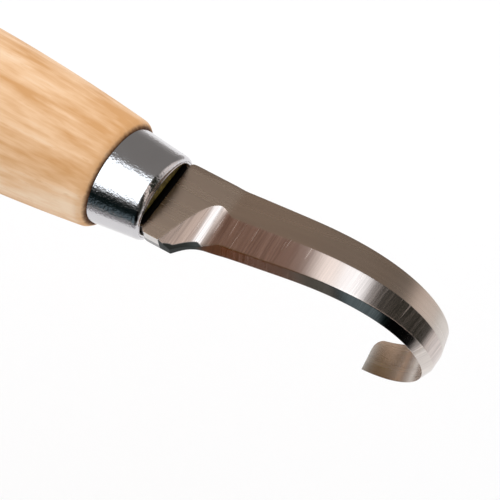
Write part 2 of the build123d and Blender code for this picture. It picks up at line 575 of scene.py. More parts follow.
@dataclass(frozen=True)
class OiledBirch(Finish):
    """Oiled birch, its grain along the handle, with painted shade where it meets the ferrule.

    Args:
        shoulder_at: Where the wood meets the ferrule along X, in metres.
        pale: Colour of the palest wood.
        middle: The usual colour.
        warm: Colour of the darker growth bands.
        joint_shade: Colour of the dark line at the shoulder, painted shade of the joint with
            the ferrule.
        drift_pitch: Slow wanderings of the growth bands per metre, by axis.
        streak_pitch: Fibre streaks per metre, by axis.
        fleck_pitch: Flecks per metre, by axis.
        blotch_pitch: Blotches per metre, by axis.
        warm_shade_length: Length of the darker, warmer wood behind the ferrule, painted shade
            of the joint, in metres.
        joint_shade_length: Length of the dark line, painted shade at the joint, in metres.
        pore_depth: Depth of the pores and streaks, in metres.
    """

    shoulder_at: float = 0.105
    pale: Colour = (0.92, 0.70, 0.50)
    middle: Colour = (0.83, 0.54, 0.32)
    warm: Colour = (0.65, 0.35, 0.15)
    joint_shade: Colour = (0.085, 0.036, 0.017)
    drift_pitch: Pitch = (16.0, 60.0, 60.0)
    streak_pitch: Pitch = (34.0, 760.0, 760.0)
    fleck_pitch: Pitch = (300.0, 2600.0, 2600.0)
    blotch_pitch: Pitch = (90.0, 260.0, 260.0)
    warm_shade_length: float = 0.0024
    joint_shade_length: float = 0.0005
    pore_depth: float = 0.000018

    def inputs(self, board: NodeBoard) -> dict:
        """Growth bands, fine flecks, pores and painted shade at the shoulder.

        Args:
            board: The material's board.

        Returns:
            Values for the shader's sockets.
        """
        place = self.object_place(board)
        x, y, z = board.split(place)
        drift = board.grain(place, self.drift_pitch)
        bands = board.join(x * 7.0 + drift, y * 150.0 + drift, z * 230.0)
        rings = board.noise(bands, 1.0, 3.0, 0.55)
        streaks = board.grain(place, self.streak_pitch, 3.0, 0.6)
        flecks = board.grain(place, self.fleck_pitch, 2.0, 0.55)
        blotch = board.grain(place, self.blotch_pitch, 3.0)
        stops = {"stops": [(0.26, self.warm), (0.50, self.middle), (0.72, self.pale)]}
        tone = 0.42 * rings + 0.28 * streaks + 0.30 * blotch
        grain = board.add("ShaderNodeValToRGB", stops, {0: tone * 2.2 - 0.60})
        dark_flecks = flecks.ramp(0.57, 0.74) * streaks.ramp(0.42, 0.62) * 0.42
        colour = board.mix(dark_flecks, grain.outputs[0], self.warm)
        # Painted shade: the wood turns darker and warmer towards the ferrule, and a dark line
        # lies at the joint.
        ragged = board.noise(place, 1500.0, 2.0) * 0.0003
        forward = x + ragged
        warm_shade = forward.ramp(self.shoulder_at - self.warm_shade_length, self.shoulder_at)
        colour = board.mix(warm_shade * 0.6, colour, self.warm)
        near = forward.ramp(self.shoulder_at - self.joint_shade_length, self.shoulder_at + 0.0001)
        return {
            "Base Color": board.mix(near, colour, self.joint_shade),
            "Roughness": 0.42 + 0.16 * (streaks - 0.5) + 0.2 * near,
            "Normal": board.bump(streaks * 0.6 + flecks * 0.4, self.pore_depth),
            "Specular IOR Level": 0.08,
        }


@dataclass(frozen=True)
class EndGrain(Finish):
    """End grain at the bottom of the ferrule's mouth, darker than the birch, partly as end
    grain and partly as painted shade of the recess.

    Args:
        dark: Colour between the pores.
        light: Colour of the raised fibres.
        pore_depth: Depth of the pores, in metres.
    """

    dark: Colour = (0.060, 0.042, 0.006)
    light: Colour = (0.260, 0.190, 0.036)
    pore_depth: float = 0.00008

    def inputs(self, board: NodeBoard) -> dict:
        """Speckled pores in dark end grain, its darkness partly painted shade of the recess.

        Args:
            board: The material's board.

        Returns:
            Values for the shader's sockets.
        """
        pores = board.noise(self.object_place(board), 2600.0, 3.0, 0.6)
        return {
            # Painted shade: these dark colours also stand for the shade inside the ferrule's
            # mouth.
            "Base Color": board.mix(pores.ramp(0.35, 0.7), self.dark, self.light),
            "Roughness": 0.55 + 0.3 * pores,
            "Normal": board.bump(pores, self.pore_depth),
        }


@dataclass(frozen=True)
class ResinAndGapShade(Finish):
    """Black cured resin with a lumpy skin; its near-total black is partly painted shade of
    the gap at the neck's root.

    Args:
        black: Base colour.
        dust: Colour of the dusty high spots.
        lump_depth: Height of the lumps, in metres.
    """

    black: Colour = (0.0008, 0.0005, 0.0003)
    dust: Colour = (0.005, 0.004, 0.002)
    lump_depth: float = 0.00012

    def inputs(self, board: NodeBoard) -> dict:
        """Lumps with dust on their tops.

        Args:
            board: The material's board.

        Returns:
            Values for the shader's sockets.
        """
        lumps = board.noise(self.object_place(board), 1800.0, 3.0, 0.6)
        return {
            "Base Color": board.mix(lumps.ramp(0.55, 0.8), self.black, self.dust),
            "Roughness": 0.45 + 0.3 * lumps,
            "Normal": board.bump(lumps, self.lump_depth),
            "Specular IOR Level": 0.06,
        }


@dataclass(frozen=True)
class PaleBoard(Finish):
    """The pale studio floor.

    Args:
        pale: Base colour.
    """

    pale: Colour = (0.97, 0.97, 0.97)

    def inputs(self, board: NodeBoard) -> dict:
        """A plain board with the faintest paper mottling.

        Args:
            board: The material's board.

        Returns:
            Values for the shader's sockets.
        """
        mottle = board.noise(self.object_place(board), 220.0, 2.0)
        rough = 0.85 + 0.1 * mottle
        return {"Base Color": self.pale, "Roughness": rough, "Specular IOR Level": 0.1}


# Surfaces


def smooth_step(value: np.ndarray, low: float, high: float) -> np.ndarray:
    """Smooth step 3t^2 - 2t^3 of t, the share of the way from low to high."""
    share = np.clip((value - low) / (high - low), 0.0, 1.0)
    return share * share * (3.0 - 2.0 * share)


def between_ends(ends: tuple[float, float], share: np.ndarray) -> np.ndarray:
    """The first end plus a share of the way to the second."""
    return ends[0] + (ends[1] - ends[0]) * share


def rippled(value: np.ndarray, seed: int, terms: int, base: float) -> np.ndarray:
    """A repeatable ripple: a sum of sines of rising pitch and falling height.

    Args:
        value: Where it is read.
        seed: Seed of the phases.
        terms: Number of sines.
        base: Pitch of the first, in radians per unit of value.

    Returns:
        The ripple, within about -1 to 1.
    """
    phases = np.random.default_rng(seed).uniform(0.0, 2 * pi, terms)
    order = np.arange(1, terms + 1)
    waves = np.sin(value[..., None] * base * order + phases) / np.sqrt(order)
    return waves.sum(-1) / np.sqrt(order).sum() * 1.8


@dataclass
class Skin:
    """A closed tube of rings, with a material number for each cell.

    Args:
        name: The piece's name.
        rings: Points in mm, shape (stations, points round, 3).
        finishes: One finish for each material number.
        zones: Material numbers, shape (cells along, cells round) or None.
        plan: Texture places, shape (stations, points round + 1, 2) or None.
        looped: Whether the last ring joins the first, with no end caps.
    """

    name: str
    rings: np.ndarray
    finishes: list[Finish]
    zones: np.ndarray | None = None
    plan: np.ndarray | None = None
    looped: bool = False

    def _cells(self) -> tuple[np.ndarray, np.ndarray, np.ndarray]:
        """Lists the cells.

        A cell (i, j) joins ring i to ring i + 1 and point j to point j + 1,
        both taken round to 0 where the tube closes.

        Returns:
            Corner indices of each cell, its station and its place round.
        """
        stations, around = self.rings.shape[:2]
        rows = stations if self.looped else stations - 1
        i, j = np.meshgrid(np.arange(rows), np.arange(around), indexing="ij")
        i, j = i.ravel(), j.ravel()
        following, beside = (i + 1) % stations, (j + 1) % around
        here, ahead = i * around, following * around
        return np.stack([here + j, here + beside, ahead + beside, ahead + j], 1), i, j

    def _outward(self, quads: np.ndarray) -> bool:
        """Tests which way the cells face, by the volume inside them.

        The volume is the sum of a . (b x c) over their triangles, and it is
        positive where they face out.

        Args:
            quads: Corner indices of the cells.

        Returns:
            Whether they face out.
        """
        points = self.rings.reshape(-1, 3)
        points = points - points.mean(0)
        a, b, c, d = (points[quads[:, k]] for k in range(4))
        return float((a * np.cross(b, c)).sum() + (a * np.cross(c, d)).sum()) > 0

    def build(self) -> bpy.types.Object:
        """Makes the mesh object.

        Returns:
            The object, at the origin, riding on the knife's one body.
        """
        quads, i, j = self._cells()
        stations, around = self.rings.shape[:2]
        flip = not self._outward(quads)
        if flip:
            quads = quads[:, ::-1]
        caps = [] if self.looped else self._caps(stations, around, flip)
        mesh = bpy.data.meshes.new(self.name)
        mesh.from_pydata(self.rings.reshape(-1, 3) * MM, [], quads.tolist() + caps)
        for finish in self.finishes:
            mesh.materials.append(finish.material())
        if self.zones is not None:
            numbers = np.zeros(len(mesh.polygons), np.int32)
            numbers[: len(quads)] = self.zones[i, j]
            mesh.polygons.foreach_set("material_index", numbers)
        if self.plan is not None:
            self._lay_plan(mesh, i, j, flip)
        mesh.shade_smooth()
        mesh.set_sharp_from_angle(angle=CREASE)
        mesh.update()
        piece = bpy.data.objects.new(self.name, mesh)
        bpy.context.scene.collection.objects.link(piece)
        weighted = piece.modifiers.new("even shading", "WEIGHTED_NORMAL")
        weighted.keep_sharp = True
        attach(piece, "root")
        return piece

    def _caps(self, stations: int, around: int, flip: bool) -> list[list[int]]:
        """Closes the tube with its first and last ring.

        Args:
            stations: Number of rings.
            around: Points in each ring.
            flip: Whether the cells were turned over.

        Returns:
            The two end faces.
        """
        first = list(range(around))
        last = list(range((stations - 1) * around, stations * around))
        return [first if flip else first[::-1], last[::-1] if flip else last]

    def _lay_plan(
        self, mesh: bpy.types.Mesh, i: np.ndarray, j: np.ndarray, flip: bool
    ) -> None:
        """Writes the texture places of each cell's corners.

        Args:
            mesh: The mesh.
            i: Station of each cell.
            j: Place round of each cell.
            flip: Whether the cells were turned over.
        """
        layer = mesh.uv_layers.new(name="strip")
        plan = self.plan
        places = np.stack([plan[i, j], plan[i, j + 1], plan[i + 1, j + 1], plan[i + 1, j]], 1)
        if flip:
            places = places[:, ::-1]
        flat = np.zeros((len(mesh.loops), 2), np.float32)
        flat[: places.shape[0] * 4] = places.reshape(-1, 2)
        layer.data.foreach_set("uv", flat.ravel())


def softened(corners: np.ndarray, rounding: np.ndarray, between: np.ndarray) -> np.ndarray:
    """Rounds the corners of many closed outlines at once.

    Each corner P becomes a quadratic curve from a point on the side before it
    to a point on the side after it, both its rounding away, with P as the
    control point: (1-t)^2 A + 2t(1-t) P + t^2 B. A rounding takes up at most
    0.35 of a side, and the rest of each side is split at the shares given.

    Args:
        corners: Outline corners, shape (stations, corners, 2).
        rounding: Rounding of each corner, shape (stations, corners).
        between: Shares along each side, 0 to 1.

    Returns:
        Rounded outlines, shape (stations, corners * points a corner, 2).
    """
    after = np.roll(corners, -1, 1)
    side = after - corners
    length = np.maximum(np.linalg.norm(side, axis=2, keepdims=True), 1e-6)
    most = 0.35 * length
    reach_out = np.minimum(rounding[..., None], most)
    reach_in = np.minimum(np.roll(rounding, -1, 1)[..., None], most)
    leaving = corners + side / length * reach_out
    arriving = after - side / length * reach_in
    entering = np.roll(arriving, 1, 1)
    bend = np.linspace(0.0, 1.0, 5)[None, None, :, None]
    a, p, b = (part[:, :, None, :] for part in (entering, corners, leaving))
    curve = (1 - bend) ** 2 * a + 2 * bend * (1 - bend) * p + bend**2 * b
    share = between[None, None, :, None]
    straight = leaving[:, :, None, :] * (1 - share) + arriving[:, :, None, :] * share
    points = np.concatenate([curve, straight], 2)
    return points.reshape(corners.shape[0], -1, 2)


# The knife's pieces


class StripSide(Enum):
    """The sides of the strip's section, in order round it from the spine."""

    OUTER = 0
    BEVEL = 1
    MICRO_BEVEL = 2
    EDGE = 3
    INNER = 4
    SPINE = 5


@dataclass
class Blade:
    """The steel blade: barbed tang, neck with choil, set bend and ground hook.

    Distances along the strip are measured from the ferrule's mouth. All sizes
    are in millimetres and offsets are from the strip's centre line.
    """

    mouth_at: float
    thickness: float = 2.7
    tang_length: float = 76.0
    wood_face: float = -0.8
    tang_front: float = 5.0
    tang_rear: float = 2.6
    barb_pitch: float = 8.0
    barb_depth: float = 0.8
    root_half_width: float = 6.6
    shoulder_at: float = 0.3
    neck_half_width: float = 7.3
    choil_at: float = 5.7
    choil_reach: float = 2.15
    heel_at: float = 9.3
    set_length: float = 3.0
    set_turn: float = 15.1
    rise_length: float = 10.5
    hook_length: float = 52.7
    hook_radii: tuple[float, ...] = (190.0, 29.0, 13.0, 9.8, 12.6, 15.0, 13.4)
    radius_shares: tuple[float, ...] = (0.0, 0.22, 0.44, 0.665, 0.775, 0.885, 1.0)
    spine_ends: tuple[float, float] = (7.2, 2.8)
    edge_ends: tuple[float, float] = (3.95, 2.65)
    bevel_ends: tuple[float, float] = (1.75, 0.8)
    micro_ends: tuple[float, float] = (3.0, 0.2)
    bevel_depths: tuple[float, float] = (1.1, 0.43)
    tip_thickness: float = 1.4
    tip_lean: float = 20.0
    wheel_radius: float = 6.3
    wheel_lift: float = 1.1
    tip_round: float = 1.8
    fracture_share: float = 0.36
    barbs_from: float = 6.0
    barb_count: int = 8
    shoulder_fall: float = 0.28
    cut_lead: float = 2.0
    corner_rounding: tuple[float, ...] = (0.07, 0.05, 0.05, 0.02, 0.06, 0.07)
    between: tuple[float, ...] = (0.08, 0.3, 0.6, 0.84, 0.92)

    @property
    def set_end(self) -> float:
        """Distance from the mouth to the end of the set bend."""
        return self.heel_at + self.set_length

    @property
    def length(self) -> float:
        """Length of the strip from the mouth to the tip."""
        return self.set_end + self.rise_length + self.hook_length

    def stations(self) -> np.ndarray:
        """Places the rings, closer where the outline changes fast.

        Returns:
            Their distances from the mouth, in order.
        """
        tang_end = self.wood_face + 0.1 - self.tang_length
        runs = [
            np.linspace(tang_end, tang_end + 3.0, 8),
            np.arange(tang_end + 3.4, self.wood_face, 0.4),
            np.array([self.wood_face + 0.1, self.wood_face + 0.101]),
            np.linspace(self.wood_face + 0.2, self.shoulder_at, 5),
            np.linspace(self.shoulder_at + 0.04, 2.0, 24),
            np.linspace(2.1, self.set_end, 140),
            np.linspace(self.set_end + 0.2, self.length - self.tip_round, 250),
            self.length - self.tip_round * np.cos(np.linspace(0.05, pi / 2, 18)),
        ]
        return np.unique(np.concatenate(runs))

    def curvature(self, distance: np.ndarray) -> np.ndarray:
        """Turn towards -Z per millimetre: a raised-cosine set bend, then the
        hook's radii joined by straight lines in 1 / radius.

        Args:
            distance: Distances along the strip.

        Returns:
            The curvature at each.
        """
        past = (distance - self.heel_at) / self.set_length
        inside = (past > 0) & (past < 1)
        steepest = -radians(self.set_turn) / self.set_length
        set_bend = steepest * (1 - np.cos(2 * pi * past)) * inside
        share = (distance - self.set_end - self.rise_length) / self.hook_length
        hook = np.interp(share, self.radius_shares, 1 / np.array(self.hook_radii))
        return set_bend + hook * (share > 0)

    def carried(self, distance: np.ndarray) -> tuple[np.ndarray, np.ndarray, np.ndarray]:
        """The outer face's centre line: the running sums of cos and -sin of
        the angle, which is itself the running sum of the curvature.

        Args:
            distance: Distances along the strip.

        Returns:
            X, Z and the angle down from the handle's axis, at each distance.
        """
        step = 0.02
        middle = np.arange(step / 2, self.length + step, step)
        bend = np.cumsum(self.curvature(middle)) * step
        angle_here = bend - self.curvature(middle) * step / 2
        x = np.cumsum(np.cos(angle_here)) * step
        z = -np.cumsum(np.sin(angle_here)) * step
        ends = middle + step / 2
        ahead = distance > 0
        angle = np.where(ahead, np.interp(distance, ends, bend), 0.0)
        along = np.where(ahead, np.interp(distance, ends, x), distance)
        height = np.where(ahead, np.interp(distance, ends, z), 0.0)
        return self.mouth_at + along, self.thickness / 2 + height, angle

    def progress(self, distance: np.ndarray) -> np.ndarray:
        """Share of the way from the heel to the tip."""
        return np.clip((distance - self.heel_at) / (self.length - self.heel_at), 0.0, 1.0)

    def rear_half_width(self, distance: np.ndarray, side: int) -> np.ndarray:
        """Half width behind the shoulder: a taper with saw-tooth barbs, then
        the wider root.

        Args:
            distance: Distances along the strip.
            side: +1 for the spine side, -1 for the edge side.

        Returns:
            The half width at each distance.
        """
        from_front = self.wood_face - distance
        taper = between_ends((self.tang_front, self.tang_rear), from_front / self.tang_length)
        tooth = np.mod(from_front + 0.8 * (side < 0), self.barb_pitch) / self.barb_pitch
        barbs_end = self.barb_count * self.barb_pitch
        barbed = (from_front > self.barbs_from) & (from_front < barbs_end)
        notch = self.barb_depth * np.clip(1 - tooth / 0.45, 0.0, 1.0) * barbed
        end = self.tang_length - from_front
        point = np.clip(1.5 - end * 0.5, 0.0, 1.5)
        tang = taper - notch - point
        return np.where(distance > self.wood_face + 0.1, self.root_half_width, tang)

    def shouldered(self, distance: np.ndarray, outline: np.ndarray, side: int) -> np.ndarray:
        """Joins the neck's outline to the root by a shoulder that falls away
        as an exponential.

        Args:
            distance: Distances along the strip.
            outline: The neck's and blade's half width there.
            side: +1 for the spine side, -1 for the edge side.

        Returns:
            The whole strip's half width.
        """
        gap = self.neck_half_width - self.root_half_width
        past = np.clip(distance - self.shoulder_at, 0.0, None) / self.shoulder_fall
        rear = self.rear_half_width(distance, side)
        return np.where(distance > self.shoulder_at, outline - gap * np.exp(-past), rear)

    def spine_offset(self, distance: np.ndarray) -> np.ndarray:
        """Spine line: straight neck, then tip + (heel - tip)(1 - u)^0.85, and a
        quarter-round corner at the tip.

        Args:
            distance: Distances along the strip.

        Returns:
            Its offset at each.
        """
        heel, tip = self.spine_ends
        neck = np.interp(distance, [0.8, self.heel_at], [self.neck_half_width, heel])
        taper = tip + (heel - tip) * (1 - self.progress(distance)) ** 0.85
        line = np.where(distance < self.heel_at, neck, taper)
        into_corner = np.clip(distance - (self.length - self.tip_round), 0.0, self.tip_round)
        line = line - self.tip_round + np.sqrt(self.tip_round**2 - into_corner**2)
        return self.shouldered(distance, line, 1)

    def lower_offset(self, distance: np.ndarray) -> np.ndarray:
        """Cutting side: straight neck, a choil that falls away as
        exp(-(d / reach)^1.2), then the edge tip + (heel - tip)(1 - u)^1.2.

        Args:
            distance: Distances along the strip.

        Returns:
            Its offset at each, as a positive number.
        """
        heel, tip = self.edge_ends
        edge = tip + (heel - tip) * (1 - self.progress(distance)) ** 1.2
        past = np.clip(distance - self.choil_at, 0.0, None) / self.choil_reach
        line = edge + (self.neck_half_width - heel) * np.exp(-(past**1.2))
        return self.shouldered(distance, line, -1)

    def section(self, distance: np.ndarray) -> np.ndarray:
        """Corners of the section at each station, across and outward.

        The main bevel falls from its line at one slope. Behind the heel the
        grinding wheel lifts out of it by d^2 / 2R, so its line runs down and
        back across the neck.

        Args:
            distance: Distances along the strip.

        Returns:
            Corners, shape (stations, 6, 2), in the order of StripSide.
        """
        u = self.progress(distance)
        spine = self.spine_offset(distance)
        lower = self.lower_offset(distance)
        bevel = between_ends(self.bevel_ends, u)
        micro = between_ends(self.micro_ends, u**1.8)
        depth = between_ends(self.bevel_depths, u)
        thickness = between_ends((self.thickness, self.tip_thickness), u**1.5)
        slope = depth / (bevel + micro)
        in_blade = smooth_step(distance, self.heel_at - 0.2, self.set_end)
        start = bevel + self.wheel_lift * (1 - in_blade)
        rise = np.clip(self.heel_at - distance, 0.0, None) ** 2 / (2 * self.wheel_radius)
        line = np.maximum(start - rise / slope, 0.25 - lower)
        drop = np.maximum(slope * (start + lower) - rise, 0.0)
        drop = np.minimum(drop, thickness * 0.8)
        behind = 1 - in_blade
        foot_across = -lower * behind - micro * in_blade
        foot_height = -drop * behind - depth * in_blade
        tear = -thickness + (thickness - drop) * self.fracture_share
        tear = tear * behind + (0.05 - thickness) * in_blade
        flat = np.zeros_like(distance)
        inner = flat - thickness
        corners = [
            (spine, flat),
            (line, flat),
            (foot_across, foot_height),
            (-lower, tear),
            (-lower, inner),
            (spine, inner),
        ]
        return np.stack([np.stack(pair, 1) for pair in corners], 1)

    def zones(self, distance: np.ndarray, per_side: int) -> np.ndarray:
        """Chooses a finish for each cell, by side and by place along the strip.

        Args:
            distance: Distances of the rings.
            per_side: Cells to each side of the section.

        Returns:
            Places in the list that finishes() gives, for each cell.
        """
        middle = (distance[1:] + distance[:-1]) / 2
        behind_cut = middle < self.choil_at - self.cut_lead
        in_choil = ~behind_cut & (middle < self.set_end + 0.3)
        satin, ground, honed, sheared, torn, blackened = range(6)
        low_side = np.where(in_choil, blackened, honed)
        by_side = np.full((len(middle), len(StripSide)), satin, np.int32)
        by_side[:, StripSide.BEVEL.value] = np.where(behind_cut, satin, ground)
        by_side[:, StripSide.MICRO_BEVEL.value] = np.where(behind_cut, sheared, low_side)
        by_side[:, StripSide.EDGE.value] = np.where(behind_cut, torn, low_side)
        return np.repeat(by_side, per_side, axis=1)

    @staticmethod
    def finishes() -> list[Finish]:
        """The blade's finishes, in the order that zones() numbers them.

        Returns:
            Satin, ground, honed, sheared, torn and blackened steel.
        """
        honed = {"tint": (0.68, 0.62, 0.58), "roughness": 0.13, "pitch": 1.3}
        honed |= {"scratch": 0.15, "scar_at": -9.0}
        torn = {"tint": (0.42, 0.41, 0.41), "roughness": 0.45}
        return [
            SatinSteel("satin_steel", "blade_steel"),
            GroundSteel("ground_bevel", "blade_steel"),
            GroundSteel("honed_bevel", "blade_steel", **honed),
            ShearedSteel("sheared_side", "blade_steel"),
            ShearedSteel("torn_side", "blade_steel", **torn),
            BurntSteel("blackened_choil", "blade_steel"),
        ]

    @staticmethod
    def texture_places(distance: np.ndarray, outline: np.ndarray, foot: int) -> np.ndarray:
        """Lays the strip out flat: distance along it, and the running length
        of the section's outline from the foot of the main bevel.

        Args:
            distance: Distances of the rings.
            outline: Outline of the section at each.
            foot: Place in the outline of the bevel's foot.

        Returns:
            Places in strip units, with the first repeated at the end.
        """
        closed = np.concatenate([outline, outline[:, :1]], 1)
        walked = np.cumsum(np.linalg.norm(np.diff(closed, axis=1), axis=2), 1)
        walked = np.concatenate([np.zeros((len(distance), 1)), walked], 1)
        walked = walked - walked[:, foot : foot + 1]
        along = np.broadcast_to(distance[:, None], walked.shape)
        return np.stack([along, walked], 2) / STRIP_UNIT

    def build(self) -> bpy.types.Object:
        """Carries the section along the strip and closes both ends.

        Each section is rolled about the strip by the lean, tip_lean * u^1.7,
        so that the spine side dips inward and the hook cups a little.

        Returns:
            The blade.
        """
        distance = self.stations()
        x, z, angle = self.carried(distance)
        corners = self.section(distance)
        rounding = np.broadcast_to(self.corner_rounding, corners.shape[:2])
        outline = softened(corners, rounding, np.array(self.between))
        per_side = outline.shape[1] // corners.shape[1]
        outline = np.roll(outline, -2, 1)
        lean = radians(self.tip_lean) * self.progress(distance)[:, None] ** 1.7
        across = outline[..., 0] * np.cos(lean) + outline[..., 1] * np.sin(lean)
        outward = outline[..., 1] * np.cos(lean) - outline[..., 0] * np.sin(lean)
        forward = x[:, None] + outward * np.sin(angle)[:, None]
        height = z[:, None] + outward * np.cos(angle)[:, None]
        rings = np.stack([forward, across, height], 2)
        foot = StripSide.MICRO_BEVEL.value * per_side
        plan = self.texture_places(distance, outline, foot)
        zones = self.zones(distance, per_side)
        piece = Skin("hook_blade", rings, self.finishes(), zones, plan).build()
        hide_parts("blade")
        return piece


@dataclass
class Ferrule:
    """The drawn, plated oval cone with its turned-in mouth, in millimetres."""

    rear_at: float
    mouth_at: float
    rear: tuple[float, float] = (9.0, 6.95)
    front: tuple[float, float] = (8.07, 6.24)
    mouth: tuple[float, float] = (7.42, 4.85)
    nose: float = 1.2
    wall: float = 0.5
    lip: float = 0.17
    out_of_round: float = 0.0012
    points_round: int = 240

    def profile(self) -> tuple[np.ndarray, np.ndarray, np.ndarray]:
        """The wall's closed outline: place along X, half width and half depth.

        The outside is a straight taper, then the nose, where the half sizes
        fall from front to mouth as the cosine of an angle while X advances
        as its sine. The inside is the same line, a wall thickness in, and a
        half circle joins the two at the mouth.

        Returns:
            X, half width and half depth round the wall's section.
        """
        turn = np.linspace(0.0, pi / 2, 22)
        nose_start = self.mouth_at - self.nose
        cone = np.array([0.0, 0.02, 0.05, 0.2, 0.4, 0.6, 0.8, 0.97])
        sides = []
        for inset in (0.0, self.wall):
            x = np.concatenate([
                between_ends((self.rear_at, nose_start), cone),
                nose_start + (self.nose - inset) * np.sin(turn),
            ])
            halves = []
            for rear, front, mouth in zip(self.rear, self.front, self.mouth):
                taper = between_ends((rear, front), cone)
                fall = mouth + (front - mouth) * np.cos(turn)
                halves.append(np.concatenate([taper, fall]) - inset)
            sides.append((x, *halves))
        outer, inner = sides
        lip_turn = np.linspace(0.2, pi - 0.2, 7)
        out_w, in_w = outer[1][-1], outer[1][-1] - 2 * self.lip
        out_d, in_d = outer[2][-1], outer[2][-1] - 2 * self.lip
        lip_x = self.mouth_at - self.lip + self.lip * np.sin(lip_turn)
        lip_w = (out_w + in_w) / 2 + self.lip * np.cos(lip_turn)
        lip_d = (out_d + in_d) / 2 + self.lip * np.cos(lip_turn)
        parts = zip(outer, (lip_x, lip_w, lip_d), inner)
        return tuple(
            np.concatenate([a[:-2], b, np.minimum(c, a.max())[::-1][2:]]) for a, b, c in parts
        )

    def build(self) -> bpy.types.Object:
        """Turns the profile round the oval and joins it to itself.

        Returns:
            The ferrule.
        """
        x, width, depth = self.profile()
        turn = np.linspace(0.0, 2 * pi, self.points_round, endpoint=False)
        swell = 1 + self.out_of_round * rippled(turn, 3, 4, 1.0)[:, None]
        rings = np.stack([
            np.broadcast_to(x, (len(turn), len(x))),
            width * np.cos(turn)[:, None] * swell,
            depth * np.sin(turn)[:, None] * swell,
        ], 2)
        finishes = [BrightPlating("bright_plating", "ferrule_plating")]
        piece = Skin("plated_ferrule", rings, finishes, looped=True).build()
        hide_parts("ferrule")
        return piece


@dataclass
class Handle:
    """The oval birch barrel, its shoulder and its spigot, in millimetres."""

    shoulder_at: float
    wood_face: float
    butt: tuple[float, float] = (10.4, 8.6)
    belly: tuple[float, float] = (14.0, 11.0)
    shoulder: tuple[float, float] = (10.1, 7.8)
    spigot: tuple[float, float] = (8.1, 6.1)
    spigot_front: tuple[float, float] = (7.2, 5.0)
    belly_at: float = 50.0
    butt_round: float = 3.0
    shoulder_round: float = 1.5
    sanding: float = 0.05
    points_round: int = 200

    def half_size(self, x: np.ndarray, axis: int) -> np.ndarray:
        """Half size of the barrel: a parabola each side of the belly, less a
        quarter-round at the butt and at the shoulder.

        Args:
            x: Places along the handle.
            axis: 0 for its width, 1 for its depth.

        Returns:
            The half size at each place.
        """
        peak = self.belly[axis]
        rear = (x - self.belly_at) / self.belly_at
        ahead = (x - self.belly_at) / (self.shoulder_at - self.belly_at)
        to_butt = peak - (peak - self.butt[axis]) * rear**2
        to_shoulder = peak - (peak - self.shoulder[axis]) * ahead**2
        size = np.where(x < self.belly_at, to_butt, to_shoulder)
        from_butt = np.clip(self.butt_round - x, 0.0, self.butt_round)
        size = size - self.butt_round + np.sqrt(self.butt_round**2 - from_butt**2)
        corner = self.shoulder_round
        from_front = np.clip(corner - (self.shoulder_at - x), 0.0, corner)
        return size - corner + np.sqrt(corner**2 - from_front**2)

    def profile(self) -> tuple[np.ndarray, np.ndarray, np.ndarray]:
        """The outline from the centre of the butt to the centre of the wood
        face in the ferrule.

        Returns:
            Place along X, half width and half depth.
        """
        quarter = np.linspace(0.0, pi / 2, 12)
        x = np.unique(np.concatenate([
            self.butt_round * (1 - np.cos(quarter)),
            np.linspace(self.butt_round, self.shoulder_at - self.shoulder_round, 90),
            self.shoulder_at - self.shoulder_round * (1 - np.sin(quarter)),
        ]))
        sizes = [self.half_size(x, 0), self.half_size(x, 1)]
        flat = np.array([0.02, 0.5, 0.9, 0.985])
        ends = np.array([1.0, 0.8, 0.5, 0.02])
        x = np.concatenate([
            np.zeros(4), x,
            [self.shoulder_at, self.wood_face - 1.5],
            np.full(4, self.wood_face),
        ])
        halves = [
            np.concatenate([size[0] * flat, size, [spigot, spigot - 0.3], front * ends])
            for size, spigot, front in zip(sizes, self.spigot, self.spigot_front)
        ]
        return x, halves[0], halves[1]

    def build(self) -> bpy.types.Object:
        """Turns the outline round the oval, with a hand-sanded unevenness.

        Sanding takes off a slow ripple along the handle, times the cosine of
        twice the angle, where that points inward.

        Returns:
            The handle.
        """
        x, width, depth = self.profile()
        turn = np.linspace(0.0, 2 * pi, self.points_round, endpoint=False)[None, :]
        sanded = self.sanding * rippled(x / 30.0, 5, 3, 1.7)[:, None] * np.cos(2 * turn)
        away_from_butt = smooth_step(x, 4.0, 20.0)[:, None]
        away_from_shoulder = (1 - smooth_step(x, 85.0, 100.0))[:, None]
        inside = np.minimum(sanded * away_from_butt * away_from_shoulder, 0.0)
        rings = np.stack([
            np.broadcast_to(x[:, None], (len(x), turn.shape[1])),
            (width[:, None] + inside) * np.cos(turn),
            (depth[:, None] + inside) * np.sin(turn),
        ], 2)
        finishes = [
            OiledBirch("oiled_birch", "handle_wood", shoulder_at=self.shoulder_at * MM),
            EndGrain("shaded_end_grain", "handle_wood"),
        ]
        in_ferrule = (x[:-1] > self.shoulder_at - 0.01).astype(np.int32)
        zones = np.broadcast_to(in_ferrule[:, None], (len(x) - 1, turn.shape[1]))
        piece = Skin("birch_handle", rings, finishes, zones).build()
        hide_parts("handle")
        return piece


